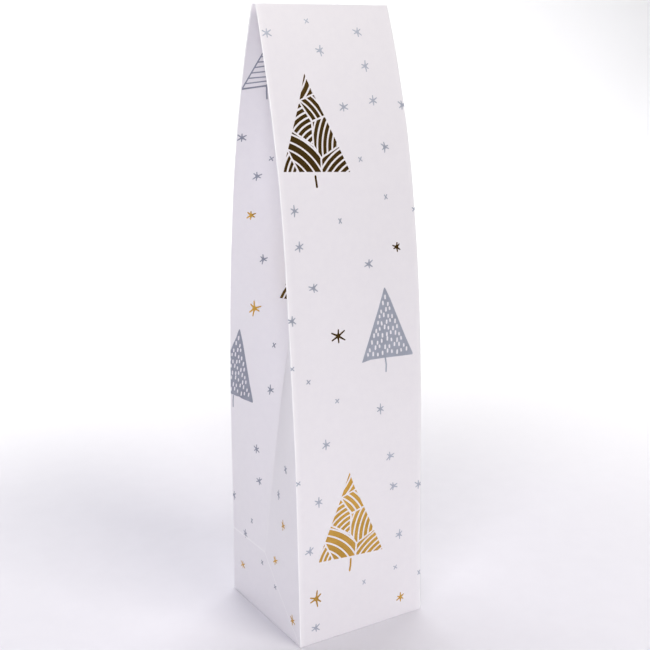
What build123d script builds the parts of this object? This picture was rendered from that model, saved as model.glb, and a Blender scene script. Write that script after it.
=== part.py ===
from build123d import *
import os

# Driving dimensions, mm. Origin: centre of the base on the floor, +Z up, front panel faces -Y.
width = 85.0  # front and back panels, along X
gusset = 85.0  # side panels when the bag stands open, along Y
paper = 0.25  # coated gift paper
card = 1.0  # base board laid in loose
floor_gap = 0.3  # the panels' lower edges sit just above the floor
panel_gap = 0.3  # between sheets of different moving pieces
fold_gap = 1.0  # from a panel's outer face to the edge of the gusset behind it
crease_gap = 0.15  # from the middle plane to each side of a gusset's centre crease
flap_overlap = 8.0  # bottom flaps lap past the middle by this much
side_flap = 30.0  # depth of the bottom's side flaps
tab_width = 14.0  # lengthwise glued seam
panel_split = 200.0  # height of the panels' flexing line
gusset_split = 190.0  # height of the gussets' flexing line
step_fold = 42.5  # the level fold, half a gusset up, across the back and the gussets' back halves

# How the pinched bag stands: height, half the depth between front and back panels, and how far
# the side gussets' centre creases lie inside the side planes.
STANCE = [
    (0.0, 42.5, 0.0),
    (20.0, 41.9, 0.0),
    (42.5, 41.4, 0.4),
    (60.0, 41.0, 2.9),
    (80.0, 40.6, 5.8),
    (100.0, 40.2, 8.8),
    (120.0, 39.6, 11.9),
    (140.0, 38.6, 15.0),
    (160.0, 37.5, 18.2),
    (180.0, 36.2, 21.4),
    (200.0, 34.6, 24.5),
    (220.0, 32.7, 27.2),
    (240.0, 30.3, 29.8),
    (260.0, 27.4, 32.5),
    (280.0, 23.6, 35.3),
    (300.0, 19.1, 38.0),
    (320.0, 13.8, 40.2),
    (340.0, 7.8, 41.7),
    (356.0, 2.4, 42.1),
]

half_w = width / 2
half_g = gusset / 2
height = STANCE[-1][0]


def stance(z):
    """Half depth and gusset fold at height z, between the listed heights."""
    for (z0, d0, e0), (z1, d1, e1) in zip(STANCE, STANCE[1:]):
        if z <= z1:
            t = (z - z0) / (z1 - z0)
            return d0 + t * (d1 - d0), e0 + t * (e1 - e0)
    return STANCE[-1][1:]


def levels(low, high):
    """The listed heights strictly between low and high, with low and high themselves."""
    inner = [z for z, _, _ in STANCE if low + 5 < z < high - 5]
    return [low] + inner + [high]


def plate(points, axis_plane, depth):
    """A closed polygon on a plane, extruded by depth along the plane's normal."""
    face = make_face(Polyline(*[axis_plane.from_local_coords(p) for p in points], close=True))
    return extrude(face, amount=depth, dir=axis_plane.z_dir)


def box(x0, x1, y0, y1, z0, z1):
    return Pos((x0 + x1) / 2, (y0 + y1) / 2, (z0 + z1) / 2) * Box(x1 - x0, y1 - y0, z1 - z0)


def panel(low, high, side, inset=0.0, x0=-half_w, x1=half_w):
    """A band of the front (side -1) or back (side 1) panel that follows the stance."""
    outer = [(side * (stance(z)[0] - inset), z) for z in levels(low, high)]
    inner = [(y - side * paper, z) for y, z in reversed(outer)]
    on_yz = Plane(origin=(x0, 0, 0), x_dir=(0, 1, 0), z_dir=(1, 0, 0))
    return plate([(y, z, 0) for y, z in outer + inner], on_yz, x1 - x0)


def gusset_section(z, x_side, y_side):
    """The cut of a half gusset at height z: from the corner fold to the centre crease."""
    d, e = stance(z)
    edge = (0.0, d - fold_gap)
    crease = (e, crease_gap)
    if z < step_fold:
        crease = (0.0, step_fold - z + crease_gap)
    run = (crease[0] - edge[0], crease[1] - edge[1])
    length = (run[0] ** 2 + run[1] ** 2) ** 0.5
    push = (-run[1] / length * paper, run[0] / length * paper)
    corners = [edge, crease, (crease[0] + push[0], crease[1] + push[1]),
               (edge[0] + push[0], edge[1] + push[1])]
    points = [(x_side * (half_w - x), y_side * y, z) for x, y in corners]
    return make_face(Polyline(*points, close=True))


def half_gusset(low, high, x_side, y_side):
    """A band of a side gusset's front or back half, folded in as the bag stands."""
    sections = [gusset_section(z, x_side, y_side) for z in levels(low, high)]
    return loft(sections, ruled=True)


def gusset_base(x_side):
    """The flat foot of a side gusset: below the slanting front crease and the level back fold."""
    front = half_g - 1.3
    back = half_g - 0.5
    top = step_fold - panel_gap / 2
    back_top = stance(step_fold)[0] - paper
    points = [(-front, floor_gap, 0), (back - paper, floor_gap, 0), (back_top, top, 0),
              (0, top, 0), (-0.9, top - 0.6, 0)]
    x0 = -half_w if x_side < 0 else half_w - paper
    on_yz = Plane(origin=(x0, 0, 0), x_dir=(0, 1, 0), z_dir=(1, 0, 0))
    return plate(points, on_yz, paper)


def side_flap_solid(x_side):
    """A bottom side flap, cut back at its free corners."""
    z0 = 2 * paper
    outer = half_w - paper
    inner = outer - side_flap
    wide = half_g - 0.9
    narrow = wide - side_flap * 0.8
    points = [(x_side * outer, -wide, z0), (x_side * outer, wide, z0),
              (x_side * inner, narrow, z0), (x_side * inner, -narrow, z0)]
    return extrude(make_face(Polyline(*points, close=True)), amount=paper, dir=(0, 0, 1))


flap_x = half_w - paper
flap_y = half_g - paper - panel_gap
board = half_g - 1.0
parts = {
    "bottom_flap_front": box(-flap_x, flap_x, -flap_y, flap_overlap, 0, paper),
    "bottom_flap_back": box(-flap_x, flap_x, -flap_overlap, flap_y, paper, 2 * paper),
    "bottom_flap_left": side_flap_solid(-1),
    "bottom_flap_right": side_flap_solid(1),
    "base_card": box(-board, board, -board, board, 3 * paper, 3 * paper + card),
    "gusset_left_base": gusset_base(-1),
    "gusset_right_base": gusset_base(1),
}

below = panel_split - panel_gap / 2
above = panel_split + panel_gap / 2
step_below = step_fold - panel_gap / 2
step_above = step_fold + panel_gap / 2
parts["front_panel_lower"] = panel(floor_gap, below, -1)
parts["front_panel_upper"] = panel(above, height, -1)
parts["back_panel_base"] = panel(floor_gap, step_below, 1)
parts["back_panel_lower"] = panel(step_above, below, 1)
parts["back_panel_upper"] = panel(above, height, 1)

tab_x1 = half_w - 0.5
tab_x0 = tab_x1 - tab_width
parts["seam_tab_base"] = panel(3.0, step_below, 1, paper, tab_x0, tab_x1)
parts["seam_tab_lower"] = panel(step_above, below, 1, paper, tab_x0, tab_x1)
parts["seam_tab_upper"] = panel(above, height, 1, paper, tab_x0, tab_x1)

split_below = gusset_split - panel_gap / 2
split_above = gusset_split + panel_gap / 2
for x_name, x_side in (("left", -1), ("right", 1)):
    for y_name, y_side, foot in (("front", -1, 4.0), ("back", 1, step_above)):
        name = f"gusset_{x_name}_{y_name}"
        parts[f"{name}_lower"] = half_gusset(foot, split_below, x_side, y_side)
        parts[f"{name}_upper"] = half_gusset(split_above, height - 0.2, x_side, y_side)

os.makedirs("parts", exist_ok=True)
for name, solid in parts.items():
    export_step(solid, f"parts/{name}.step")
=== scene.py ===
import math

import bmesh
import bpy
import numpy as np
from mathutils import Matrix
from mathutils.geometry import delaunay_2d_cdt


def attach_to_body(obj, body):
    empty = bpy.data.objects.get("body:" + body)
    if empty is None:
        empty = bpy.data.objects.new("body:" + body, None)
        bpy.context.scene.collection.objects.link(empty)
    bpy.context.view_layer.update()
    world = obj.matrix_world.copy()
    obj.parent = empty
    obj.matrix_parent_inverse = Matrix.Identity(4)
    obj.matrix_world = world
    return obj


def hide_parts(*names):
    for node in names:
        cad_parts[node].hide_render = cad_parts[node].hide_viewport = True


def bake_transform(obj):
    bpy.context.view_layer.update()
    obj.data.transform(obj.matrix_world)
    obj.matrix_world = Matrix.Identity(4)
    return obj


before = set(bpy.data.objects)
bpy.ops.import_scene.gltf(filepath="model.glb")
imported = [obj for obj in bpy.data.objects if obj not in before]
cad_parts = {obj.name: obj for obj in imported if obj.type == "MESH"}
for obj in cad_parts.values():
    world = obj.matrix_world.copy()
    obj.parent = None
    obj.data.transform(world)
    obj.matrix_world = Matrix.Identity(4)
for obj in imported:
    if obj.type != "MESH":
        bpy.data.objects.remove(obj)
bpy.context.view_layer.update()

# ---------------------------------------------------------------- geometry, mm

W2 = 42.5  # half the width of a panel and half the depth of a gusset
PAPER = 0.3  # thickness of the paper
FOLD = 0.5  # outer radius where a panel folds round into a gusset
FLAT = W2 - FOLD  # where a panel's flat face ends and its fold starts
SEAM = 0.35  # the seam tab lies this far inside the back panel's outer face
SPLIT = 190.0  # where a gusset's upper flexing starts
STEP = 42.5  # the level fold across the back
HEIGHT = 356.0

# height, half the depth between front and back, inward reach of the gussets' centre creases
STANCE = np.array([
    (0.0, 42.5, 0.0), (20.0, 41.9, 0.0), (42.5, 41.4, 0.4), (60.0, 41.0, 2.9),
    (80.0, 40.6, 5.8), (100.0, 40.2, 8.8), (120.0, 39.6, 11.9), (140.0, 38.6, 15.0),
    (160.0, 37.5, 18.2), (180.0, 36.2, 21.4), (200.0, 34.6, 24.5), (220.0, 32.7, 27.2),
    (240.0, 30.3, 29.8), (260.0, 27.4, 32.5), (280.0, 23.6, 35.3), (300.0, 19.1, 38.0),
    (320.0, 13.8, 40.2), (340.0, 7.8, 41.7), (356.0, 2.4, 42.1)])
# height, how far the left and right ends stand towards the front (-) or back: a slight twist
TWIST = np.array([
    (0.0, 0.3), (40.0, 0.4), (75.0, 0.3), (110.0, 0.0), (135.0, -0.5), (170.0, -0.9),
    (190.0, -1.0), (212.0, -0.9), (240.0, -0.6), (262.0, -0.5), (283.0, -0.4),
    (305.0, 0.0), (327.0, 0.4), (356.0, 1.2)])


def curve(x, xs, ys):
    """A smooth line through the points (xs, ys), without overshoot."""
    x = np.asarray(x, float)
    h = np.diff(xs)
    m = np.diff(ys) / h
    g = np.empty(len(xs))
    g[0], g[-1] = m[0], m[-1]
    same = m[1:] * m[:-1] > 0
    g[1:-1] = np.where(same, 2 * m[1:] * m[:-1] / np.where(same, m[1:] + m[:-1], 1.0), 0.0)
    i = np.clip(np.searchsorted(xs, x) - 1, 0, len(h) - 1)
    t = np.clip((x - xs[i]) / h[i], 0.0, 1.0)
    h00, h10 = (1 + 2 * t) * (1 - t) ** 2, t * (1 - t) ** 2
    h01, h11 = t * t * (3 - 2 * t), t * t * (t - 1)
    return h00 * ys[i] + h10 * h[i] * g[i] + h01 * ys[i + 1] + h11 * h[i] * g[i + 1]


def half_depth(z):
    return curve(z, STANCE[:, 0], STANCE[:, 1])


def reach(z):
    return curve(z, STANCE[:, 0], STANCE[:, 2])


def twist(z):
    return curve(z, TWIST[:, 0], TWIST[:, 1])


def bump(t):
    """A smooth hill: 1 at t = 0, 0 beyond 1 on either side."""
    t = np.clip(np.abs(t), 0, 1)
    return (1 - t * t) ** 2


def ramp(t):
    t = np.clip(t, 0, 1)
    return t * t * (3 - 2 * t)


def surface(side, a, z):
    """A point on the bag's outer face. a runs across the side, z is the height."""
    a, z = np.asarray(a, float), np.asarray(z, float)
    d = half_depth(z)
    if side in ("front", "back"):
        k = -1 if side == "front" else 1
        x = a
        y = k * d
        # the wide sheets belly out a little between their folds
        belly = 0.8 * bump(a / W2) * ramp(z / 60) * ramp((HEIGHT - z) / 120)
        y = y + k * belly
    else:
        k = -1 if side == "left" else 1
        soft = 0.6 + 2.2 * ramp((175 - z) / 60)  # the crease starts soft and sharpens upwards
        share = 1 - np.sqrt(a * a + soft * soft) / W2
        e = reach(z)
        x = k * (W2 - share * e)
        y = a / W2 * d
        half = np.abs(a) / W2
        bow = 4 * half * (1 - half) * ramp((z - 50) / 50) * ramp((230 - z) / 80)
        x = x + k * 1.3 * bow
        # a shallow dent above the foot, where the three creases meet
        dent = bump(np.hypot((a - 3) / 11, (z - 52) / 12))
        x = x - k * 0.7 * dent * ramp((z - 40) / 8)
    y = y + twist(z) * np.asarray(x) / W2
    return np.stack(np.broadcast_arrays(x, y, z), -1)


def lifted(side, a, z, lift):
    """The same point, lifted off the face by lift mm."""
    h = 0.05
    da = surface(side, a + h, z) - surface(side, a - h, z)
    dz = surface(side, a, z + h) - surface(side, a, z - h)
    n = np.cross(da, dz)
    n /= np.linalg.norm(n, axis=-1, keepdims=True)
    if side in ("back", "left"):
        n = -n
    return surface(side, a, z) + n * np.asarray(lift)[..., None]


HEIGHTS = np.linspace(0, HEIGHT, 1425)
LENGTHS = np.concatenate([[0], np.cumsum(np.hypot(np.diff(HEIGHTS), np.diff(half_depth(HEIGHTS))))])


def at_length(s):
    """Height of the point that lies s mm up the sheet."""
    return np.interp(s, LENGTHS, HEIGHTS)


def length_at(z):
    """Length of the sheet below height z."""
    return np.interp(z, HEIGHTS, LENGTHS)


def tuck(z):
    """How far the lowest half millimetre turns in towards the bottom flaps."""
    low = np.clip(FOLD - z, 0, FOLD)
    return FOLD - np.sqrt(FOLD * FOLD - low * low)


def turn(z, inset=0.0):
    """Angle that the fold turns through, so the gusset runs straight from it to its crease."""
    across = 0.986 * reach(z) - FOLD  # the crease itself is a little rounded
    along = half_depth(z) - inset - FOLD
    return np.pi / 2 + np.arctan2(across, along) + np.arcsin(FOLD / np.hypot(across, along))


def on_panel(side, a, z, lift=0.0, inset=0.0):
    """A point on the front or back sheet, which follows its folds round beyond FLAT."""
    a, z, lift = np.broadcast_arrays(*(np.asarray(v, float) for v in (a, z, lift)))
    lift = lift - tuck(z)
    k = -1 if side == "front" else 1
    flat = lifted(side, np.clip(a, -FLAT, FLAT), z, lift - inset)
    angle = np.clip((np.abs(a) - FLAT) / FOLD, 0, None)
    r = np.maximum(FOLD + lift, 0.03)
    x = np.sign(a) * (FLAT + r * np.sin(angle))
    y = k * (half_depth(z) - inset - FOLD + r * np.cos(angle)) + twist(z) * x / W2
    return np.where((angle > 0)[..., None], np.stack([x, y, z], -1), flat)


def on_gusset(side, a, z, lift=0.0):
    """A point on a gusset; a runs from the front fold (-W2) over the crease (0) to the back."""
    a, z, lift = np.broadcast_arrays(*(np.asarray(v, float) for v in (a, z, lift)))
    p = lifted(side, a, z, lift - tuck(z))
    inset = np.where(a > 0, SEAM, 0.0) if side == "right" else 0.0
    past = turn(z, inset) - np.pi / 2
    share = np.abs(a) / W2
    p[..., 0] += (1 if side == "left" else -1) * share * FOLD * (1 - np.cos(past))
    p[..., 1] -= np.sign(a) * share * (inset + FOLD * (1 + np.sin(past)))
    return p


def foot_line(a):
    """Top of a gusset's flat foot: it slants up from the front corner and is level at the back."""
    return np.maximum(STEP + np.minimum(a, 0.0), 0.6)


# ---------------------------------------------------------------- camera and studio

scene = bpy.context.scene
scene.view_settings.view_transform = "Standard"

azimuth, elevation, roll = (math.radians(v) for v in (31.03, 14.46, -0.35))
forward = np.array([math.sin(azimuth) * math.cos(elevation),
                    math.cos(azimuth) * math.cos(elevation), -math.sin(elevation)])
level = np.array([math.cos(azimuth), -math.sin(azimuth), 0.0])
upright = np.cross(level, forward)
cam_x = math.cos(roll) * level + math.sin(roll) * upright
cam_y = math.cos(roll) * upright - math.sin(roll) * level
camera = bpy.data.objects.new("camera", bpy.data.cameras.new("camera"))
scene.collection.objects.link(camera)
matrix = np.eye(4)
matrix[:3, 0], matrix[:3, 1], matrix[:3, 2] = cam_x, cam_y, -forward
matrix[:3, 3] = (-0.3176, -0.5294, 0.3353)
camera.matrix_world = Matrix(matrix.tolist())
camera.data.lens = 60.4
camera.data.sensor_width = 36.0
camera.data.clip_start = 0.01
scene.camera = camera


def principled(name):
    m = bpy.data.materials.new(name)
    m.use_nodes = True
    return m, m.node_tree.nodes, m.node_tree.links, m.node_tree.nodes["Principled BSDF"]


def node(nodes, kind, **values):
    n = nodes.new(kind)
    for key, v in values.items():
        if hasattr(n, key):
            setattr(n, key, v)
        else:
            n.inputs[key.replace("_", " ")].default_value = v
    return n


def ramp_node(nodes, links, source, stops):
    r = nodes.new("ShaderNodeValToRGB")
    e = r.color_ramp.elements
    while len(e) < len(stops):
        e.new(0.5)
    for i, (at, colour) in enumerate(stops):
        e[i].position, e[i].color = at, (*colour, 1)
    links.new(source, r.inputs["Fac"])
    return r.outputs["Color"]


def mix(nodes, links, fac, a, b, kind="MIX"):
    m = nodes.new("ShaderNodeMix")
    m.data_type, m.blend_type = "RGBA", kind
    for socket, v in ((m.inputs["Factor"], fac), (m.inputs["A"], a), (m.inputs["B"], b)):
        if hasattr(v, "links") or isinstance(v, bpy.types.NodeSocket):
            links.new(v, socket)
        else:
            socket.default_value = v if isinstance(v, (int, float)) else (*v, 1)
    return m.outputs["Result"]


def bumped(nodes, links, shader, layers):
    """Bump from several (height socket, strength, distance) layers."""
    normal = None
    for height, strength, distance in layers:
        b = nodes.new("ShaderNodeBump")
        b.inputs["Strength"].default_value = strength
        b.inputs["Distance"].default_value = distance
        links.new(height, b.inputs["Height"])
        if normal is not None:
            links.new(normal, b.inputs["Normal"])
        normal = b.outputs["Normal"]
    links.new(normal, shader.inputs["Normal"])


def math_node(nodes, links, op, a, b=0.0):
    m = nodes.new("ShaderNodeMath")
    m.operation = op
    for i, v in enumerate((a, b)):
        if isinstance(v, bpy.types.NodeSocket):
            links.new(v, m.inputs[i])
        else:
            m.inputs[i].default_value = v
    return m.outputs[0]


def spread(nodes, links, source, low, high):
    """Maps a texture's 0 to 1 onto the range low to high."""
    r = nodes.new("ShaderNodeMapRange")
    r.inputs["To Min"].default_value = low
    r.inputs["To Max"].default_value = high
    links.new(source, r.inputs["Value"])
    return r.outputs["Result"]


def paper_material(name, base, shade, roughness, fibre, coated):
    """White paper: cloudy formation, fine fibres, folds painted lighter (partly wear, partly a
    painted highlight), slow waviness.
    """
    m, nodes, links, bsdf = principled(name)
    at = nodes.new("ShaderNodeTexCoord").outputs["Object"]
    cloud = node(nodes, "ShaderNodeTexNoise", Scale=240.0, Detail=5.0, Roughness=0.65)
    fine = node(nodes, "ShaderNodeTexNoise", Scale=2600.0, Detail=4.0, Roughness=0.7)
    slow = node(nodes, "ShaderNodeTexNoise", Scale=22.0, Detail=2.0, Roughness=0.4)
    strand = node(nodes, "ShaderNodeTexNoise", Scale=900.0, Detail=6.0, Distortion=2.2)
    squeeze = nodes.new("ShaderNodeMapping")
    squeeze.inputs["Scale"].default_value = (1.0, 1.0, 0.35)
    links.new(at, squeeze.inputs["Vector"])
    for n in (cloud, fine, slow):
        links.new(at, n.inputs["Vector"])
    links.new(squeeze.outputs["Vector"], strand.inputs["Vector"])
    colour = ramp_node(nodes, links, cloud.outputs["Fac"], [(0.3, shade), (0.7, base)])
    fibres = ramp_node(nodes, links, strand.outputs["Fac"],
                       [(0.32, (0.10, 0.10, 0.10)), (0.46, (0.0, 0.0, 0.0))])
    colour = mix(nodes, links, fibres, colour, shade)
    # the fold attribute paints folds lighter: partly worn coating, partly a painted highlight where
    # raised fold edges catch the light
    wear_and_highlight = nodes.new("ShaderNodeAttribute")
    wear_and_highlight.attribute_name = "fold"
    scuff_and_highlight = math_node(nodes, links, "MULTIPLY", wear_and_highlight.outputs["Fac"],
                      math_node(nodes, links, "MULTIPLY_ADD", fine.outputs["Fac"], 0.9))
    colour = mix(nodes, links, scuff_and_highlight, colour, (0.93, 0.92, 0.93))
    links.new(colour, bsdf.inputs["Base Color"])
    rough = spread(nodes, links, cloud.outputs["Fac"], roughness - 0.05, roughness + 0.07)
    rough = math_node(nodes, links, "ADD", rough,
                      math_node(nodes, links, "MULTIPLY", scuff_and_highlight, 0.25))
    links.new(rough, bsdf.inputs["Roughness"])
    bsdf.inputs["Specular IOR Level"].default_value = 0.5 if coated else 0.25
    if coated:
        bsdf.inputs["Coat Weight"].default_value = 0.12
        bsdf.inputs["Coat Roughness"].default_value = 0.28
    else:
        bsdf.inputs["Sheen Weight"].default_value = 0.08
    bumped(nodes, links, bsdf, [(slow.outputs["Fac"], 0.25, 0.0012),
                                (cloud.outputs["Fac"], 0.12, 0.00005),
                                (strand.outputs["Fac"], fibre, 0.00005),
                                (fine.outputs["Fac"], fibre, 0.00003)])
    return m


def foil_material():
    """Hot-stamped gold foil: mirror-like, with the paper's grain and a little haze."""
    m, nodes, links, bsdf = principled("gold foil")
    at = nodes.new("ShaderNodeTexCoord").outputs["Object"]
    grain = node(nodes, "ShaderNodeTexNoise", Scale=1500.0, Detail=4.0, Roughness=0.6)
    patch = node(nodes, "ShaderNodeTexNoise", Scale=110.0, Detail=3.0, Roughness=0.5)
    for n in (grain, patch):
        links.new(at, n.inputs["Vector"])
    colour = ramp_node(nodes, links, patch.outputs["Fac"],
                       [(0.3, (0.58, 0.335, 0.065)), (0.7, (0.68, 0.405, 0.095))])
    links.new(colour, bsdf.inputs["Base Color"])
    links.new(spread(nodes, links, grain.outputs["Fac"], 0.07, 0.20), bsdf.inputs["Roughness"])
    bsdf.inputs["Metallic"].default_value = 1.0
    bumped(nodes, links, bsdf, [(patch.outputs["Fac"], 0.15, 0.0002),
                                (grain.outputs["Fac"], 0.15, 0.00002)])
    return m


def ink_material(name, thin, full):
    """Silver-grey printing ink: slightly metallic, flecked by the paper under it."""
    m, nodes, links, bsdf = principled(name)
    at = nodes.new("ShaderNodeTexCoord").outputs["Object"]
    grain = node(nodes, "ShaderNodeTexNoise", Scale=2200.0, Detail=4.0, Roughness=0.7)
    patch = node(nodes, "ShaderNodeTexNoise", Scale=160.0, Detail=3.0, Roughness=0.5)
    for n in (grain, patch):
        links.new(at, n.inputs["Vector"])
    colour = ramp_node(nodes, links, patch.outputs["Fac"], [(0.3, full), (0.7, thin)])
    bare = ramp_node(nodes, links, grain.outputs["Fac"],
                     [(0.66, (0.0, 0.0, 0.0)), (0.78, (0.25, 0.25, 0.25))])
    colour = mix(nodes, links, bare, colour, (0.55, 0.57, 0.63))
    links.new(colour, bsdf.inputs["Base Color"])
    links.new(spread(nodes, links, grain.outputs["Fac"], 0.34, 0.50), bsdf.inputs["Roughness"])
    bsdf.inputs["Metallic"].default_value = 0.35
    bumped(nodes, links, bsdf, [(grain.outputs["Fac"], 0.3, 0.00002)])
    return m


def board_material():
    """Grey recycled board: flecks, long fibres and a soft tooth."""
    m, nodes, links, bsdf = principled("grey board")
    at = nodes.new("ShaderNodeTexCoord").outputs["Object"]
    pulp = node(nodes, "ShaderNodeTexNoise", Scale=420.0, Detail=7.0, Roughness=0.7)
    fleck = node(nodes, "ShaderNodeTexNoise", Scale=1900.0, Detail=3.0, Roughness=0.6)
    stretch = nodes.new("ShaderNodeMapping")
    stretch.inputs["Scale"].default_value = (1.0, 0.25, 1.0)
    links.new(at, stretch.inputs["Vector"])
    links.new(stretch.outputs["Vector"], pulp.inputs["Vector"])
    links.new(at, fleck.inputs["Vector"])
    colour = ramp_node(nodes, links, pulp.outputs["Fac"],
                       [(0.3, (0.26, 0.24, 0.21)), (0.7, (0.40, 0.38, 0.34))])
    specks = ramp_node(nodes, links, fleck.outputs["Fac"],
                       [(0.30, (0.7, 0.7, 0.7)), (0.37, (0.0, 0.0, 0.0))])
    colour = mix(nodes, links, specks, colour, (0.16, 0.14, 0.12))
    links.new(colour, bsdf.inputs["Base Color"])
    bsdf.inputs["Roughness"].default_value = 0.88
    bsdf.inputs["Specular IOR Level"].default_value = 0.25
    bumped(nodes, links, bsdf, [(pulp.outputs["Fac"], 0.5, 0.00012),
                                (fleck.outputs["Fac"], 0.4, 0.00005)])
    return m


PAPER_OUT = paper_material("coated paper", (0.82, 0.80, 0.83), (0.80, 0.78, 0.815),
                           roughness=0.40, fibre=0.12, coated=True)
PAPER_IN = paper_material("uncoated paper", (0.82, 0.81, 0.83), (0.76, 0.75, 0.77),
                          roughness=0.78, fibre=0.55, coated=False)
GOLD = foil_material()
SILVER = ink_material("silver ink", (0.46, 0.49, 0.58), (0.40, 0.43, 0.51))
# the gussets' ink is a darker copy of the same silver ink: painted shade for the shaded sides
SILVER_PAINTED_SHADE = ink_material("silver ink, gussets, painted shade", (0.33, 0.345, 0.42), (0.26, 0.275, 0.34))
BOARD = board_material()


def floor_material():
    """Matt pale floor with painted shade: a touch darker and more lavender round the bag than
    further away, which also dims and tints the light it bounces onto the bag, in metres.
    """
    m, nodes, links, bsdf = principled("studio sweep")
    at = nodes.new("ShaderNodeTexCoord").outputs["Object"]
    n = node(nodes, "ShaderNodeTexNoise", Scale=60.0, Detail=4.0, Roughness=0.6)
    links.new(at, n.inputs["Vector"])
    far = nodes.new("ShaderNodeVectorMath")
    far.operation = "LENGTH"
    links.new(at, far.inputs[0])
    blend = nodes.new("ShaderNodeMapRange")
    blend.interpolation_type = "SMOOTHSTEP"
    blend.inputs["From Min"].default_value = 0.12
    blend.inputs["From Max"].default_value = 0.60
    links.new(far.outputs["Value"], blend.inputs["Value"])
    # painted shade: the floor near the bag is darker and lavender
    near = ramp_node(nodes, links, n.outputs["Fac"],
                     [(0.3, (0.69, 0.68, 0.725)), (0.7, (0.705, 0.695, 0.74))])
    links.new(mix(nodes, links, blend.outputs["Result"], near, (0.90, 0.90, 0.91)),
              bsdf.inputs["Base Color"])
    bsdf.inputs["Roughness"].default_value = 0.9
    bsdf.inputs["Specular IOR Level"].default_value = 0.1
    return m


def studio_sweep():
    """Pale floor that curves up into a backdrop behind the bag."""
    front, bend, radius, top = -0.45, 1.5, 0.6, 3.0  # along Y, and up
    left, right = -2.2, 3.4
    profile = [(front, 0.0), (bend, 0.0)]
    profile += [(bend + radius * math.sin(t), radius - radius * math.cos(t)) for t in
                (i * math.pi / 24 for i in range(1, 13))]
    profile += [(bend + radius, 1.4), (bend + radius, top)]
    verts = [(x, y, z) for y, z in profile for x in (left, right)]
    faces = [(2 * i, 2 * i + 1, 2 * i + 3, 2 * i + 2) for i in range(len(profile) - 1)]
    mesh = bpy.data.meshes.new("studio_sweep")
    mesh.from_pydata(verts, [], faces)
    mesh.polygons.foreach_set("use_smooth", [True] * len(mesh.polygons))
    mesh.materials.append(floor_material())
    obj = bpy.data.objects.new("studio_sweep", mesh)
    scene.collection.objects.link(obj)


def softbox(name, at, towards, size, power, colour=(1, 1, 1)):
    """A rectangular area light at one point, facing another."""
    light = bpy.data.lights.new(name, "AREA")
    light.shape, light.size, light.size_y = "RECTANGLE", size[0], size[1]
    light.energy, light.color = power, colour
    obj = bpy.data.objects.new(name, light)
    scene.collection.objects.link(obj)
    z = np.array(at, float) - np.array(towards, float)
    z /= np.linalg.norm(z)
    x = np.cross((0, 0, 1), z) if abs(z[2]) < 0.99 else np.array((1.0, 0, 0))
    x /= np.linalg.norm(x)
    m = np.eye(4)
    m[:3, 0], m[:3, 1], m[:3, 2], m[:3, 3] = x, np.cross(z, x), z, at
    obj.matrix_world = Matrix(m.tolist())


studio_sweep()
softbox("key", (-1.34, -1.49, 1.10), (0, 0, 0.18), (1.7, 0.9), 31.5, (0.965, 0.945, 1.0))
softbox("front", (0.5, -1.35, 1.65), (0, 0, 0.2), (0.9, 0.6), 18, (1.0, 0.965, 0.89))
softbox("top", (0.3, 1.0, 2.3), (0.3, 1.0, 0.0), (2.6, 1.8), 10)
softbox("back", (1.1, 1.1, 2.4), (1.1, 2.2, 0.6), (3.4, 0.8), 60)
world = bpy.data.worlds.new("world")
world.use_nodes = True
world.node_tree.nodes["Background"].inputs["Color"].default_value = (0.92, 0.89, 1.0, 1)
world.node_tree.nodes["Background"].inputs["Strength"].default_value = 0.085
scene.world = world

# ---------------------------------------------------------------- paper sheets

# for each sheet: the two bodies it is meant to bend between, and the heights in metres where it
# would; this script only reads whether an entry is None
RIDES = {"front": ("front_lower", "front_upper", 0.075, 0.400),
         "back": ("back_lower", "back_upper", 0.148, 0.368),
         "foot": None}
for _x in ("left", "right"):
    for _y in ("front", "back"):
        _g = f"gusset_{_x}_{_y}"
        RIDES[f"{_x}_{_y}_lower"] = ("base", f"{_g}_lower", 0.024, 0.190)
        RIDES[f"{_x}_{_y}_upper"] = (f"{_g}_lower", f"{_g}_upper", 0.190, 0.377)


def attach(obj, key):
    if RIDES[key] is None:
        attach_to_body(obj, "base")
    else:
        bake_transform(obj)


def add(name, verts, faces, materials, slots=None, sharp=40.0):
    mesh = bpy.data.meshes.new(name)
    mesh.from_pydata([tuple(v) for v in np.asarray(verts) * 0.001], [], faces)
    for m in materials:
        mesh.materials.append(m)
    if slots is not None:
        mesh.polygons.foreach_set("material_index", slots)
    bm = bmesh.new()
    bm.from_mesh(mesh)
    bmesh.ops.recalc_face_normals(bm, faces=bm.faces)
    for f in bm.faces:
        f.smooth = True
    for e in bm.edges:
        e.smooth = e.calc_face_angle(0.0) < math.radians(sharp)
    bm.to_mesh(mesh)
    bm.free()
    obj = bpy.data.objects.new(name, mesh)
    scene.collection.objects.link(obj)
    return obj


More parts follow.
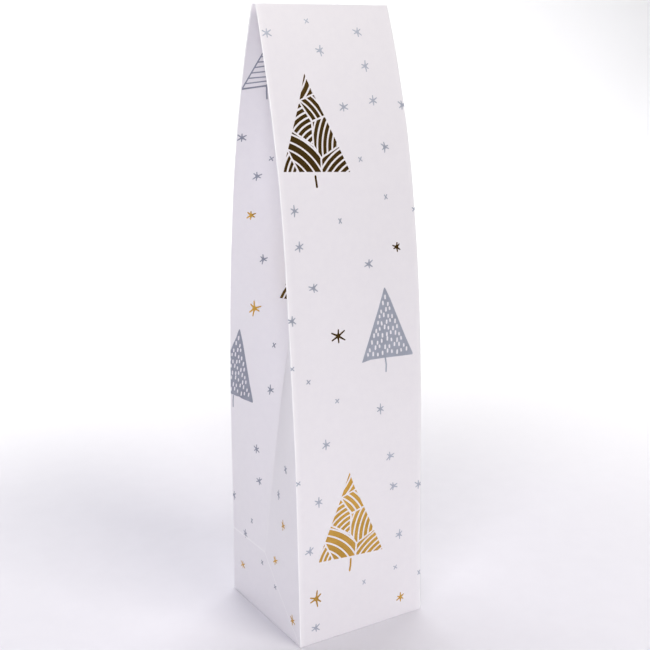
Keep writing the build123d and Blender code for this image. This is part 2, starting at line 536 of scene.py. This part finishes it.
def shell(name, key, place, a, z, fold, stands_for, outer, inner):
    """A closed sheet of paper over the grid (a, z), coated outside and uncoated inside."""
    a, z, fold, outer, inner = np.broadcast_arrays(a, z, fold, outer, inner)
    rows, cols = a.shape
    n = rows * cols
    top, low = place(a, z, outer).reshape(-1, 3), place(a, z, inner).reshape(-1, 3)
    grid = np.arange(n).reshape(rows, cols)
    faces, slots = [], []
    for i in range(rows - 1):
        for j in range(cols - 1):
            q = (grid[i, j], grid[i, j + 1], grid[i + 1, j + 1], grid[i + 1, j])
            faces += [[int(v) for v in q], [int(v) + n for v in reversed(q)]]
            slots += [0, 1]
    rim = ([grid[0, j] for j in range(cols)] + [grid[i, -1] for i in range(1, rows)]
           + [grid[-1, j] for j in range(cols - 2, -1, -1)]
           + [grid[i, 0] for i in range(rows - 2, 0, -1)])
    for u, v in zip(rim, rim[1:] + rim[:1]):
        faces.append([int(v), int(u), int(u) + n, int(v) + n])
        slots.append(1)
    obj = add(name, np.vstack([top, low]), faces, (PAPER_OUT, PAPER_IN), slots)
    wear_and_highlight = obj.data.attributes.new("fold", "FLOAT", "POINT")
    wear_and_highlight.data.foreach_set("value", np.tile(fold.ravel(), 2).astype(np.float32))
    attach(obj, key)
    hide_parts(*stands_for)
    return obj


def steps(z0, z1, gap=3.0):
    """Heights from z0 to z1, about a gap apart."""
    return np.linspace(z0, z1, max(2, int(round((z1 - z0) / gap)) + 1))


BOTTOM = np.array([0.05, 0.15, 0.3, 0.5])  # heights across the turned-in lower edge
RETURN = 100.0  # columns beyond this lie on strips that turn the corner inside the bag
BARELY = 0.03  # from a corner to the start of such a strip
BACK_TOP = 150.0  # a front sheet's strips run up to here, and the gussets' own from there


def on_sheet(side, a, z, lift, inset):
    """A point on a front or back sheet, its folds, and the strips behind the gussets."""
    a, z, lift = np.broadcast_arrays(a, z, lift)
    p = on_panel(side, np.where(np.abs(a) < RETURN, a, 0.0), z, lift, inset)
    k = -1 if side == "front" else 1
    for name, way in (("left", -1), ("right", 1)):
        behind = way * a >= RETURN
        q = on_gusset(name, k * (W2 - np.where(behind, np.abs(a) - RETURN, 0.0)), z, lift)
        p = np.where(behind[..., None], q, p)
    return p


def panel_columns(z, left=True, right=True, inset=0.0, first=-FLAT, returns=False):
    """Columns across a panel sheet, row by row: a, fold whitening (wear and painted highlight),
    outer lift, inner lift.
    """
    share = np.array([0.06, 0.2, 0.35, 0.5, 0.65, 0.8, 0.92, 1.0])
    flat = np.linspace(first, FLAT, int(round((FLAT - first) / 3.0)) + 1)
    back = [0.0, 0.0] if returns else []
    rows = []
    for at in z:
        if returns:
            width = 2.34 * float(ramp((BACK_TOP - at) / 20))
            back = [RETURN + BARELY, RETURN + 2 * BARELY + width]
        lip = np.concatenate([FLAT + FOLD * share * float(turn(at, inset)), back])
        rows.append(np.concatenate(([-lip[::-1]] if left else []) + [flat]
                                   + ([lip] if right else [])))
    wear_and_highlight, outer, inner = np.zeros(len(flat)), np.zeros(len(flat)), np.full(len(flat), -PAPER)
    # the folds round the panel's corners are painted lighter: partly wear, partly painted highlight
    lip_wear_and_highlight = np.array([1.0] * len(share) + [0.0 for _ in back])
    lip_outer = np.array([0.0] * len(share) + [-0.33 for _ in back])
    lip_inner = np.array([-PAPER] * (len(share) - 1) + [-0.5 if back else -PAPER]
                         + [-0.5 for _ in back])
    for there, end, order in ((left, 0, -1), (right, -1, 1)):
        if there:
            wear_and_highlight[end] = 0.35
            joined = [(wear_and_highlight, lip_wear_and_highlight), (outer, lip_outer), (inner, lip_inner)]
            wear_and_highlight, outer, inner = (np.concatenate([lip[::-1], base] if order < 0 else [base, lip])
                                  for base, lip in joined)
    return np.array(rows), wear_and_highlight, outer, inner


def panel_sheet(name, key, side, z, stands_for, **how):
    """A sheet of the front or back, or the seam strip, with rows at the heights z."""
    z = np.asarray(z)
    inset = how.get("inset", 0.0)
    a, wear_and_highlight, outer, inner = panel_columns(z, **how)
    shell(name, key, lambda a, z, lift: on_sheet(side, a, z, lift, inset), a, z[:, None],
          wear_and_highlight[None, :], stands_for, outer[None, :], inner[None, :])


panel_sheet("front_sheet", "front", "front",
            np.concatenate([BOTTOM, steps(1.5, HEIGHT)]),
            ("front_panel_lower", "front_panel_upper"), returns=True)
panel_sheet("back_sheet_foot", "foot", "back",
            np.concatenate([BOTTOM, steps(1.5, STEP - 0.02)]), ("back_panel_base",), right=False)
panel_sheet("back_sheet", "back", "back", steps(STEP + 0.02, HEIGHT),
            ("back_panel_lower", "back_panel_upper"), right=False)
panel_sheet("seam_strip_foot", "foot", "back", steps(1.5, STEP - 0.02), ("seam_tab_base",),
            left=False, inset=SEAM, first=28.0)
panel_sheet("seam_strip", "back", "back", steps(STEP + 0.02, HEIGHT - 0.3),
            ("seam_tab_lower", "seam_tab_upper"), left=False, inset=SEAM, first=28.0)

HALF = np.array([42.5, 42.0, 40.0, 37.0, 34.0, 31.0, 28.0, 25.0, 22.0, 19.0, 16.0, 13.0,
                 10.5, 8.0, 6.0, 4.0, 2.6, 1.6, 0.9, 0.5, 0.2, 0.0])  # columns, from the crease
# lighter paint along the gussets' centre creases: partly wear, partly painted highlight
HALF_WEAR_AND_HIGHLIGHT = np.interp(HALF, [0.0, 0.5, 1.4], [0.25, 0.12, 0.0])
RIDGE = np.array([0.0, 0.35, 0.9])  # rows next to a fold that stands out as a fine ridge
RIDGE_LIFT = np.array([0.09, 0.045, 0.0])
# whitening along these ridges: partly wear, partly painted highlight
RIDGE_WEAR_AND_HIGHLIGHT = np.array([1.0, 0.5, 0.0])
PAST = 2.2  # a front half reaches this far past the crease, inside the bag
TURNED = 3.4  # and a strip of it goes this far behind the front panel


def front_half(side, a, z, lift):
    """A point on a gusset's front half, or on the hidden strips at its two edges."""
    past = np.maximum(a, 0.0)
    # past the crease it is longer low down, and dips inward higher up
    lift = lift - 0.55 * past * ramp((300 - z) / 40) * ramp((z - SPLIT) / 12)
    past = past * (0.15 + 0.85 * ramp((345 - z) / 40)) * (1 + 0.9 * ramp((SPLIT - z) / 15))
    p = on_gusset(side, np.clip(a, -W2, 0.0), z, lift)
    width = 2 * BARELY + TURNED * ramp((z - BACK_TOP + 10) / 20) * ramp((325 - z) / 30)
    across = np.minimum(FLAT + (a + RETURN) * width, FLAT)
    turned = on_panel("front", -across if side == "left" else across, z, lift)
    p = np.where((a < -RETURN)[..., None], turned, p)
    near, far = (on_gusset(side, v, z, lift) for v in (-1.5, -3.5))
    straight_on = near + (near - far) / 2 * (1.5 + past)[..., None]
    return np.where((a > 0)[..., None], straight_on, p)


def gusset_half(x_name, y_name, part):
    """One folded half of a gusset, below or above its flexing line."""
    key = f"{x_name}_{y_name}_{part}"
    front = y_name == "front"
    a = -HALF if front else HALF
    outer, inner = np.zeros(len(a)), np.full(len(a), -PAPER)
    wear_and_highlight = HALF_WEAR_AND_HIGHLIGHT.copy()
    if front:
        inner[-1] = -0.5
        a = np.concatenate([[-RETURN - 1, -RETURN - BARELY], a, [BARELY, PAST]])
        outer = np.concatenate([[-0.45, -0.45], outer, [-0.1, -0.1]])
        inner = np.concatenate([[-0.7, -0.7], inner, [-0.3, -0.3]])
        wear_and_highlight = np.concatenate([[0.0, 0.0], wear_and_highlight, [0.0, 0.0]])
    if part == "lower":
        low = foot_line(np.maximum(a, -W2))
        up = np.concatenate([RIDGE / 160.0, np.linspace(0.015, 1.0, 52)])
        z = low[None, :] + (SPLIT - low[None, :]) * up[:, None]
        away = np.concatenate([RIDGE_LIFT, np.zeros(52)])
        white = np.concatenate([RIDGE_WEAR_AND_HIGHLIGHT, np.zeros(52)])
    else:
        levels = steps(SPLIT, HEIGHT - 0.1)
        z = np.broadcast_to(levels[:, None], (len(levels), len(a)))
        away = white = np.zeros(len(z))

    def place(a, z, lift):
        return front_half(x_name, a, z, lift) if front else on_gusset(x_name, a, z, lift)

    shell(f"{key}_sheet", key, place, a[None, :], z, np.maximum(wear_and_highlight[None, :], white[:, None]),
          (f"gusset_{key}",), outer[None, :] + away[:, None], inner[None, :] + away[:, None])


def foot_sheet(side):
    """The flat foot of a gusset, up to the slanting and the level fold."""
    a = np.concatenate([-HALF, HALF[-2::-1]])
    up = np.concatenate([[0.0, 0.0025, 0.006, 0.011], np.linspace(0.04, 0.965, 14),
                         [0.979, 0.992, 1.0]])
    z = 0.05 + (foot_line(a)[None, :] - 0.05) * up[:, None]
    away = np.concatenate([np.zeros(18), RIDGE_LIFT[::-1]])
    white = np.concatenate([np.zeros(18), RIDGE_WEAR_AND_HIGHLIGHT[::-1]])
    shell(f"{side}_foot_sheet", "foot", lambda a, z, lift: on_gusset(side, a, z, lift),
          a[None, :], z, np.broadcast_to(white[:, None], z.shape),
          (f"gusset_{side}_base",), away[:, None], away[:, None] - PAPER)


for _x in ("left", "right"):
    for _y in ("front", "back"):
        for _part in ("lower", "upper"):
            gusset_half(_x, _y, _part)
    foot_sheet(_x)

# ---------------------------------------------------------------- print: shapes, mm on the sheet

# A shape is (chains, keep): chains are the lines its outline needs, keep says what is printed.


def inside(loop, x, y):
    """Which points lie inside a closed loop."""
    x0, y0 = loop[:, 0], loop[:, 1]
    x1, y1 = np.roll(x0, -1), np.roll(y0, -1)
    over = (y0[None] > y[:, None]) != (y1[None] > y[:, None])
    with np.errstate(divide="ignore", invalid="ignore"):
        at = x0 + (y[:, None] - y0) * (x1 - x0) / (y1 - y0)
    return (over & (x[:, None] < at)).sum(1) % 2 == 1


def solid(loops, holes=()):
    """A shape that is printed all over, apart from its holes."""
    loops, holes = [np.asarray(l, float) for l in loops], [np.asarray(h, float) for h in holes]

    def keep(x, y):
        shown = np.zeros(len(x), bool)
        for loop in loops:
            shown |= inside(loop, x, y)
        for hole in holes:
            shown &= ~inside(hole, x, y)
        return shown

    return [(l, True) for l in loops + holes], keep


def stroke(points, width, ends=None):
    """Outline of a drawn line; ends gives its width at both ends where it tapers."""
    p = np.asarray(points, float)
    w0, w1 = ends or (width, width)
    run = np.concatenate([[0], np.cumsum(np.hypot(*np.diff(p, axis=0).T))])
    half = np.interp(run, [0, run[-1]], [w0, w1]) / 2
    d = np.gradient(p, axis=0)
    d /= np.linalg.norm(d, axis=1)[:, None]
    n = np.stack([-d[:, 1], d[:, 0]], 1)
    left, right = p + n * half[:, None], p - n * half[:, None]
    caps = []
    for at, way, h in ((p[-1], d[-1], half[-1]), (p[0], -d[0], half[0])):
        side = np.array([-way[1], way[0]])
        caps.append([at + h * (math.cos(t) * side + math.sin(t) * way)
                     for t in (0.6, 1.1, 1.57, 2.04, 2.54)])
    return np.vstack([left, caps[0], right[::-1], caps[1]])


def asterisk(a, s, size, width, seed=0, rays=6):
    """A hand-drawn star of uneven rays."""
    loops = []
    for i in range(rays):
        t = 0.52 + i * 2 * math.pi / rays + 0.16 * math.sin(3.1 * i + seed)
        far = size / 2 * (1.0 + 0.16 * math.cos(2.3 * i + 1.7 * seed))
        c, d = math.cos(t), math.sin(t)
        start = (a - 0.1 * size * c, s - 0.1 * size * d)
        loops.append(stroke([start, (a + far * c, s + far * d)], width,
                            (width * 1.45, width * 0.8)))
    return solid(loops)


def little_cross(a, s, size=2.8, width=0.62, seed=0):
    """Two short lines that cross."""
    loops = []
    for t in (0.85 + 0.2 * math.sin(seed), 2.35 + 0.2 * math.cos(2 * seed)):
        c, d = size / 2 * math.cos(t), size / 2 * math.sin(t)
        loops.append(stroke([(a - c, s - d), (a + c, s + d)], width))
    return solid(loops)


def affine(apex, left, right):
    """Maps a model triangle (0, 0) (42, 0) (20, 52) to the given corners, and back."""
    apex, left, right = (np.asarray(v, float) for v in (apex, left, right))
    u = (right - left) / 42.0
    v = (apex - left - 20.0 * u) / 52.0
    m = np.column_stack([u, v])
    back = np.linalg.inv(m)
    return (lambda p: left + np.asarray(p, float) @ m.T,
            lambda x, y: (np.column_stack([x, y]) - left) @ back.T)


def shrunk(corners, by):
    """A convex polygon, counter-clockwise, moved in by a distance on every side."""
    p = np.asarray(corners, float)
    d = np.roll(p, -1, 0) - p
    d /= np.linalg.norm(d, axis=1)[:, None]
    n = np.column_stack([-d[:, 1], d[:, 0]])
    out = []
    for i in range(len(p)):
        m = np.array([n[i - 1], n[i]])
        out.append(np.linalg.solve(m, [n[i - 1] @ p[i] + by, n[i] @ p[i] + by]))
    return np.array(out)


# fields of the striped tree: corners, the centre its stripes curve round, first stripe, pitch
FIELDS = [
    ([(19.9, 54.4), (14.1, 37.7), (24.2, 41.8)], (-7, 62), 1.6, 3.6),
    ([(24.4, 42), (14.2, 38), (21, 27), (29.8, 30.2)], (4, 18), 0.2, 3.3),
    ([(14.2, 38), (8.0, 22), (20.5, 14), (21, 27)], (27, 7), 0.0, 3.0),
    ([(29.8, 30.2), (21, 27), (20.5, 14), (24.5, 7.5), (36.6, 14.2)], (60, 10), 0.7, 3.1),
    ([(8.0, 22), (4.1, 12), (10, -0.5), (24, -0.5), (24.5, 7.5), (20.5, 14)], (-3, -13), 0.6, 4.3),
    ([(4.1, 12), (-0.8, -0.5), (10, -0.5)], (26, -7), 0.3, 2.7),
    ([(24, -0.5), (42.9, -0.5), (36.6, 14.2), (24.5, 7.5)], (54, -20), 0.2, 3.1)]


def striped_tree(apex, left, right, trunk, gap=1.05):
    """A fir of curved stripes that run different ways, over a short trunk."""
    to, back = affine(apex, left, right)
    chains, tests = [], []
    for corners, centre, first, pitch in FIELDS:
        c = np.array(corners, float)
        area = np.sum(c[:, 0] * np.roll(c[:, 1], -1) - np.roll(c[:, 0], -1) * c[:, 1])
        field = shrunk(c if area > 0 else c[::-1], gap / 2)
        chains.append((to(field), True))
        far = np.hypot(*(field - centre).T)
        for k in range(int(far.min() // pitch) - 1, int(far.max() // pitch) + 2):
            for r in (k * pitch + first, k * pitch + first + pitch - gap):
                if not far.min() - 1.5 < r < far.max() + 1.5:
                    continue
                t = np.linspace(-math.pi, math.pi, max(12, int(2 * math.pi * r / 1.3)))
                ring = np.column_stack([centre[0] + r * np.cos(t), centre[1] + r * np.sin(t)])
                near = ((ring > field.min(0) - 1.4) & (ring < field.max(0) + 1.4)).all(1)
                cuts = np.flatnonzero(np.diff(near.astype(int)))
                for part in np.split(np.arange(len(t)), cuts + 1):
                    if near[part[0]] and len(part) > 1:
                        chains.append((to(ring[part]), False))
        tests.append((field, centre, first, pitch))
    bole = stroke(trunk, 1.2)
    chains.append((bole, True))

    def keep(x, y):
        q = back(x, y)
        shown = inside(bole, x, y)
        for field, centre, first, pitch in tests:
            r = np.hypot(q[:, 0] - centre[0], q[:, 1] - centre[1])
            shown |= inside(field, q[:, 0], q[:, 1]) & ((r - first) % pitch < pitch - gap)
        return shown

    return chains, keep


def dash(x, y, length, width, lean):
    """A short upright line round (x, y)."""
    return stroke([(x - lean * length / 2, y - length / 2 + width / 2),
                   (x + lean * length / 2, y + length / 2 - width / 2)], width)


def dashed_tree(apex, left, right, trunk):
    """A fir of solid ink with short upright dashes left unprinted, over a thin trunk."""
    to, _ = affine(apex, left, right)
    outline = [(0, 0), (7, 1.4), (20, 1.2), (34, 0.6), (42, 0.4), (42.2, 1.6), (36.4, 14),
               (30.6, 28), (24.6, 43), (20.4, 52), (19.6, 52), (14.6, 38), (8.6, 22.6), (3.4, 9)]
    holes = []
    for row in range(10):
        y = 45.4 - 4.45 * row
        wide = 42 - y * 42 / 52
        count = max(1, int(round((wide - 2.5) / 3.75)))
        for i in range(count):
            share = (i + 0.5) / count - 0.5
            wave = math.sin(5.3 * row + 2.9 * i)
            x = 21 - y / 52 + share * (wide - 2.2) + 0.35 * wave
            yy = y + 0.8 * math.sin(1.7 * i + 2.2 * row) - 1.6 * abs(share)
            if yy > 3.0:
                length = 3.1 + 0.4 * math.cos(3.7 * i + row)
                holes.append(to(dash(x, yy, length, 1.45, 0.05 * wave)))
    return solid([to(outline), stroke(trunk, 0.95)], holes)


def line_tree(apex, left, right, trunk, bars=7):
    """A fir drawn in thin lines: outline, level bars and a trunk."""
    to, _ = affine(apex, left, right)
    loops = [stroke(to([(0, 0), (10, 26.3), (20, 52)]), 0.8),
             stroke(to([(20, 52), (31, 26.4), (42, 0)]), 0.8),
             stroke(to([(-0.6, 0), (20, 0.9), (42.6, 0.2)]), 0.9)]
    for i in range(1, bars):
        y = 44.0 * i / bars
        x0, x1 = 20 * y / 52, 42 - 22 * y / 52
        middle = ((x0 + x1) / 2, y + 0.5 * math.sin(2 * i))
        loops.append(stroke(to([(x0, y), middle, (x1, y + 0.3)]), 0.7))
    loops.append(stroke(trunk, 0.85))
    return solid(loops)


# ---------------------------------------------------------------- print: where it goes


def many(make, places, *rest):
    """Small shapes at several places, each drawn a little differently."""
    return [make(a, s, *rest, seed=0.7 * i + 0.3) for i, (a, s) in enumerate(places)]


PRINT = {
    "front": {
        "gold": [striped_tree((-19.5, 321.5), (-39.8, 270.9), (1.3, 268.5),
                              [(-20.4, 267.5), (-20.1, 261.8)]),
                 striped_tree((-8, 99), (-30, 49.8), (14.1, 47),
                              [(-8.0, 46.6), (-8.2, 43), (-8.8, 39.6)]),
                 asterisk(-12.7, 179.6, 8.4, 0.95, 0.4), asterisk(28.3, 225, 5.0, 0.85, 1.3),
                 asterisk(-31.4, 27.8, 8.6, 0.95, 2.1), asterisk(27.4, 12.1, 5.2, 0.85, 2.9)],
        "silver": [dashed_tree((18.7, 203), (1.9, 162.3), (36.5, 161.8),
                               [(17.6, 163), (18.2, 159), (17.9, 155)])]
        + many(asterisk, [(-38.6, 344.1), (18.5, 344.6), (-7.6, 334.5), (20, 325.6),
                          (21.8, 306.5), (2, 303.6), (40.8, 303.4), (25.7, 280.7), (-34.8, 250),
                          (-33.5, 230.7), (9, 217.4), (-26.5, 207.8), (-40.5, 191.4),
                          (13.5, 133.5), (-22.9, 119), (19.9, 103.8), (22.2, 84.7),
                          (40.7, 81.6), (-28.5, 86.2), (26.6, 53.2), (-35, 57.9), (-32.1, 9.7)],
               5.2, 0.7)
        + many(little_cross, [(-13.1, 350.6), (23.2, 253.3), (-7.6, 242.6), (8.7, 274.9),
                              (41.8, 245.1), (-41.9, 165.2), (-32.3, 156.5), (-14.9, 143),
                              (-41.2, 99.9), (23.7, 32.7), (1.2, 29.4), (41.3, 24.5)]),
    },
    "left": {
        "gold": [striped_tree((-10, 244), (10, 194), (-31, 192), [(-9.6, 191), (-10, 184)]),
                 asterisk(31.4, 241.2, 5.0, 0.85, 0.8), asterisk(25.2, 186.3, 8.2, 0.95, 1.6),
                 asterisk(-22.4, 67.5, 5.4, 0.8, 2.2), asterisk(29.8, 21.8, 5.2, 0.8, 0.2),
                 asterisk(-13.6, 42.4, 5.0, 0.8, 1.1), asterisk(-34, 13.3, 5.6, 0.85, 2.6)],
        "silver": [line_tree((30.6, 338), (42.4, 313.5), (16.5, 316),
                             [(28.8, 315.6), (28.5, 312), (27.9, 308)]),
                   dashed_tree((35.2, 172.3), (56.4, 130.4), (22.1, 128.9),
                               [(39.9, 130), (40.3, 126.5), (40.2, 123)])]
        + many(asterisk, [(39.8, 286), (29.4, 263.9), (22.1, 215.8), (8.9, 139.6),
                          (16.3, 101.8), (-25.7, 102.5), (12.1, 83), (41.1, 64.7),
                          (-13.9, 83.2), (25.9, 44.4), (-24, 290), (-12, 320)], 5.0, 0.7)
        + many(little_cross, [(22, 274), (9.5, 166.1), (18.5, 55.4), (3.4, 34.3), (-13.3, 25.3),
                              (-36, 215), (-6, 268)]),
    },
    "back": {
        "gold": [striped_tree((14, 312), (34, 262), (-6, 260), [(14, 258.6), (13.6, 252)]),
                 striped_tree((16, 128), (-5, 79), (38, 77), [(16.6, 75.6), (16, 69)]),
                 asterisk(-20, 236, 8.6, 0.95, 0.9), asterisk(33, 176, 7.4, 0.9, 2.0),
                 asterisk(-29, 24, 8.0, 0.9, 1.2), asterisk(9, 37, 6.4, 0.85, 0.1)],
        "silver": [dashed_tree((-49.8, 172.3), (-62.9, 128.9), (-28.6, 130.4),
                               [(-45, 130), (-45, 123)]),
                   line_tree((-22, 332), (-38, 292), (-6, 291),
                             [(-22, 291), (-21.6, 287), (-22.4, 283)]),
                   dashed_tree((6, 226), (-12, 186), (23, 187), [(5.4, 187), (5.8, 183), (5, 179)])]
        + many(asterisk, [(2, 344), (28, 338), (-36, 346), (36, 318), (-34, 268), (-15, 262),
                          (37, 240), (-37, 210), (-20, 160), (20, 158), (2, 142), (-12, 112),
                          (-34, 98), (36, 132), (-22, 72), (30, 52), (-37, 54), (35, 14),
                          (-5, 14)], 5.2, 0.7)
        + many(little_cross, [(14, 329), (-10, 350), (38, 286), (-24, 246), (28, 214),
                              (-30, 188), (8, 169), (37, 104), (-20, 92), (-12, 48), (22, 22),
                              (-38, 8)]),
    },
    "right": {
        "gold": [striped_tree((6, 170), (-14, 121), (27, 119), [(6.4, 117.6), (6, 111)]),
                 asterisk(-24, 208, 8.2, 0.9, 0.5), asterisk(22, 262, 7.0, 0.85, 1.9),
                 asterisk(-30, 62, 7.4, 0.9, 2.4), asterisk(20, 40, 8.4, 0.95, 0.7)],
        "silver": [dashed_tree((-22, 316), (-38, 278), (-6, 277),
                               [(-22, 278), (-21.6, 274), (-22.2, 270)]),
                   line_tree((24, 232), (9, 194), (39, 193), [(24, 193), (24.4, 189), (23.8, 185)])]
        + many(asterisk, [(34, 338), (12, 318), (-36, 342), (36, 296), (-8, 250), (-34, 248),
                          (36, 252), (-14, 186), (34, 168), (-34, 162), (-30, 112), (34, 92),
                          (12, 88), (-16, 84), (36, 22), (-12, 34), (-36, 24)], 5.0, 0.7)
        + many(little_cross, [(16, 286), (-12, 226), (2, 206), (-34, 190), (26, 144),
                              (-32, 134), (34, 66), (4, 60), (-20, 50), (6, 14)]),
    },
}


def sheet_of(side, a, z):
    """Which sheet each point of a side is printed on."""
    if side == "front":
        return np.full(len(a), "front")
    if side == "back":
        return np.where(z < STEP, "back_foot", "back")
    half = np.where(a < 0, "front", "back")
    part = np.where(z < SPLIT, "lower", "upper")
    named = np.char.add(np.char.add(f"{side}_", half), np.char.add("_", part))
    return np.where(z < foot_line(a), f"{side}_foot", named)


def limits(side):
    """How far the print reaches across a side: a little way round the folds."""
    if side == "front":
        return -FLAT - 0.7, FLAT + 0.7
    if side == "back":
        return -FLAT - 0.7, FLAT - 0.2
    return -W2 + 0.1, W2 - 0.1


def printed(side, shapes):
    """Triangles of the shapes on one side, gathered by the sheet they lie on."""
    a0, a1 = limits(side)
    found = {}
    for chains, keep in shapes:
        points, edges = [], []

        def chain(p, closed):
            first = len(points)
            points.extend(map(tuple, p))
            edges.extend((first + i, first + i + 1) for i in range(len(p) - 1))
            if closed:
                edges.append((first + len(p) - 1, first))

        for p, closed in chains:
            p = np.asarray(p, float)
            chain(np.column_stack([p[:, 0], at_length(p[:, 1])]), closed)
        lo, hi = np.min(points, 0) - 0.5, np.max(points, 0) + 0.5
        if hi[0] < a0 or lo[0] > a1:
            continue
        # cut lines where the sheet changes or bends
        across = [v for v in ((a0, a1) if side in ("front", "back") else (a0, 0.0, a1))
                  if lo[0] < v < hi[0]]
        if side in ("front", "back"):
            for k in (-1, 1):
                across += [k * (FLAT + v) for v in (0.0, 0.15, 0.3, 0.45, 0.6)
                           if lo[0] < k * (FLAT + v) < hi[0] and a0 < k * (FLAT + v) < a1]
        for v in across:
            chain(np.array([(v, lo[1]), (v, hi[1])]), False)
        if side != "front":
            level = [STEP] if side == "back" else [SPLIT]
            for v in level:
                if lo[1] < v < hi[1]:
                    chain(np.array([(lo[0], v), (hi[0], v)]), False)
            if side != "back" and lo[1] < STEP + 1:
                corner = (-W2 + 1, foot_line(-W2 + 1))
                chain(np.array([(-W2, 0.6), corner, (0, STEP), (W2, STEP)], float), False)
        grid = np.stack(np.meshgrid(np.arange(lo[0], hi[0], 4.0), np.arange(lo[1], hi[1], 4.0)), -1)
        if hi[0] - lo[0] > 12:
            points.extend(map(tuple, grid.reshape(-1, 2) + 0.013))
        v, _, tris, _, _, _ = delaunay_2d_cdt(points, edges, [], 0, 1e-5)
        v, tris = np.array([tuple(p) for p in v]), np.array([t for t in tris if len(t) == 3])
        mid = v[tris].mean(1)
        size = np.abs(np.cross(v[tris[:, 1]] - v[tris[:, 0]], v[tris[:, 2]] - v[tris[:, 0]]))
        shown = keep(mid[:, 0], length_at(mid[:, 1])) & (mid[:, 0] > a0) & (mid[:, 0] < a1)
        shown &= (size > 1e-6) & (mid[:, 1] > 1.0) & (mid[:, 1] < HEIGHT - 0.6)
        tris, mid = tris[shown], mid[shown]
        for name, t in zip(sheet_of(side, mid[:, 0], mid[:, 1]), tris):
            found.setdefault(str(name), []).append((v, t))
    return found


INK_FACE = 0.06  # the print stands out by this much
INK_BACK = -0.1  # and is let into the paper by this much


def print_sheet(side, colour, material):
    """One closed piece for what is printed on each sheet of a side, in one colour."""
    for name, cells in printed(side, PRINT[side][colour]).items():
        index, flat, faces = {}, [], []
        for v, tri in cells:
            face = []
            for i in tri:
                key = (id(v), int(i))
                if key not in index:
                    index[key] = len(flat)
                    flat.append(v[i])
                face.append(index[key])
            faces.append(face)
        flat = np.array(flat)
        place = on_panel if side in ("front", "back") else on_gusset
        n = len(flat)
        top, low = (place(side, flat[:, 0], flat[:, 1], lift) for lift in (INK_FACE, INK_BACK))
        closed = list(faces) + [[i + n for i in reversed(f)] for f in faces]
        used = {}
        for f in faces:
            for u, w in zip(f, f[1:] + f[:1]):
                used[(u, w)] = True
        for u, w in used:
            if (w, u) not in used:
                closed.append([w, u, u + n, w + n])
        obj = add(f"print_{name}_{colour}", np.vstack([top, low]), closed, (material,))
        attach(obj, "foot" if name.endswith("foot") else name)


for _side in PRINT:
    print_sheet(_side, "gold", GOLD)
    # the gusset sides take the darker silver ink, which is painted shade
    print_sheet(_side, "silver", SILVER if _side in ("front", "back") else SILVER_PAINTED_SHADE)

for _name in ("bottom_flap_front", "bottom_flap_back", "bottom_flap_left", "bottom_flap_right"):
    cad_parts[_name].data.materials.clear()
    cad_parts[_name].data.materials.append(PAPER_IN if "left" in _name or "right" in _name
                                                else PAPER_OUT)
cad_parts["base_card"].data.materials.clear()
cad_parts["base_card"].data.materials.append(BOARD)
